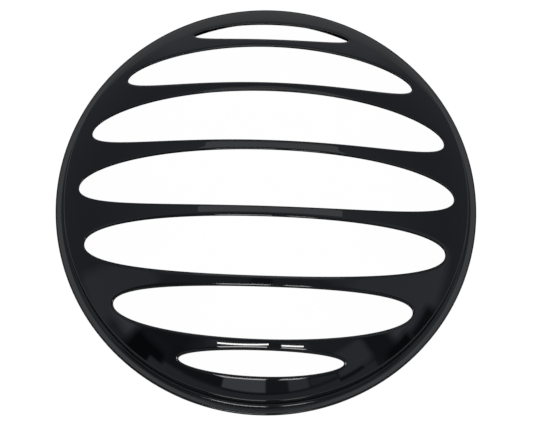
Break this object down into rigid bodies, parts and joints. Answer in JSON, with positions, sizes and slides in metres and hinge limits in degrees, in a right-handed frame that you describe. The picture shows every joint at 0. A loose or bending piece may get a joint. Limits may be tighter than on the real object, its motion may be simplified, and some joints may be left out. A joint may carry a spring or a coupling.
{
  "type": "headlight grille",
  "caption": "Round domed grille for a headlamp: slotted spherical cover on a short skirt with a flat mounting flange, moulded in gloss black plastic.",
  "frame": {"origin": "centre of the flange's underside", "axes": "+Z out of the lamp along the dome's axis, +X along the slots"},
  "size_m": [0.1842, 0.1842, 0.0395],
  "materials": {
    "gloss_black_plastic": "moulded gloss black ABS"
  },
  "bodies": {
    "root": {"headlight_grille": "gloss_black_plastic"}
  },
  "joints": []
}
